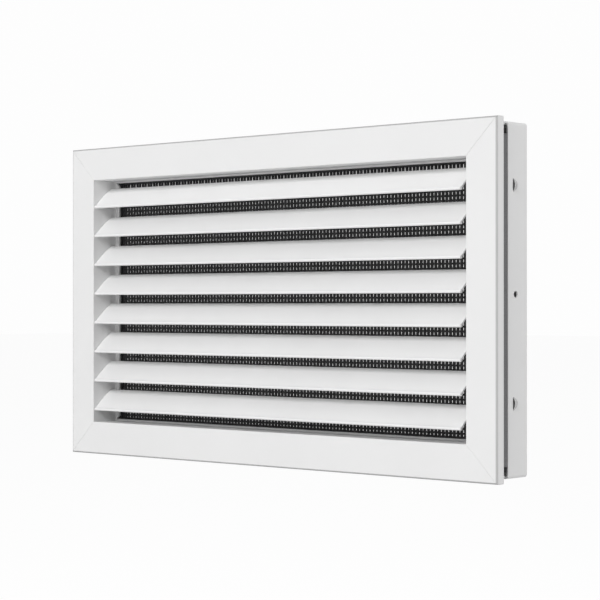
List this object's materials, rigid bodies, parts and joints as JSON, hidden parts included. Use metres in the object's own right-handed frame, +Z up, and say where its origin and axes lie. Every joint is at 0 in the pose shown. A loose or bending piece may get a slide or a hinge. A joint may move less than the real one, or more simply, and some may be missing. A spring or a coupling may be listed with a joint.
{
  "type": "return air grille",
  "caption": "Louvred return air grille for a cleanroom: a white face with fixed blades and a black net filter, which pulls out of a sheet metal neck.",
  "frame": {"origin": "centre of the wall opening, in the plane of the wall's surface that the face's flange lies on", "axes": "+X to the right seen from the room, +Z up, +Y from the room into the wall and duct"},
  "size_m": [0.456, 0.0418, 0.264],
  "materials": {
    "frame_paint": "satin white powder coat on extruded aluminium",
    "blade_paint": "satin white powder coat on extruded aluminium",
    "neck_paint": "satin white powder coat on folded steel sheet",
    "cleat_metal": "plain pressed aluminium",
    "filter_bar": "black extruded plastic",
    "filter_net": "black woven net",
    "spring_steel": "bare spring steel",
    "rivet_metal": "bare aluminium rivet",
    "foam": "closed-cell foam, dark grey"
  },
  "bodies": {
    "neck": {"neck_right_wall": "neck_paint", "neck_left_wall": "neck_paint", "neck_top_wall": "neck_paint", "neck_bottom_wall": "neck_paint", "neck_rivets": "rivet_metal"},
    "face": {"frame_top_rail": "frame_paint", "frame_bottom_rail": "frame_paint", "frame_left_jamb": "frame_paint", "frame_right_jamb": "frame_paint", "blade_1": "blade_paint", "blade_2": "blade_paint", "blade_3": "blade_paint", "blade_4": "blade_paint", "blade_5": "blade_paint", "blade_6": "blade_paint", "blade_7": "blade_paint", "blade_8": "blade_paint", "corner_cleat_top_left": "cleat_metal", "corner_cleat_top_right": "cleat_metal", "corner_cleat_bottom_left": "cleat_metal", "corner_cleat_bottom_right": "cleat_metal", "filter_top_bar": "filter_bar", "filter_bottom_bar": "filter_bar", "filter_left_bar": "filter_bar", "filter_right_bar": "filter_bar", "filter_net": "filter_net", "filter_clip_top_left": "spring_steel", "filter_clip_top_right": "spring_steel", "filter_clip_bottom_left": "spring_steel", "filter_clip_bottom_right": "spring_steel", "leaf_spring_left_upper": "spring_steel", "leaf_spring_left_lower": "spring_steel", "leaf_spring_right_upper": "spring_steel", "leaf_spring_right_lower": "spring_steel", "foam_top_strip": "foam", "foam_bottom_strip": "foam", "foam_left_strip": "foam", "foam_right_strip": "foam"}
  },
  "joints": [
    {"name": "face_pull", "type": "slide", "parent": "neck", "child": "face", "axis": [0, -1, 0], "range_m": [0, 0.06]}
  ]
}
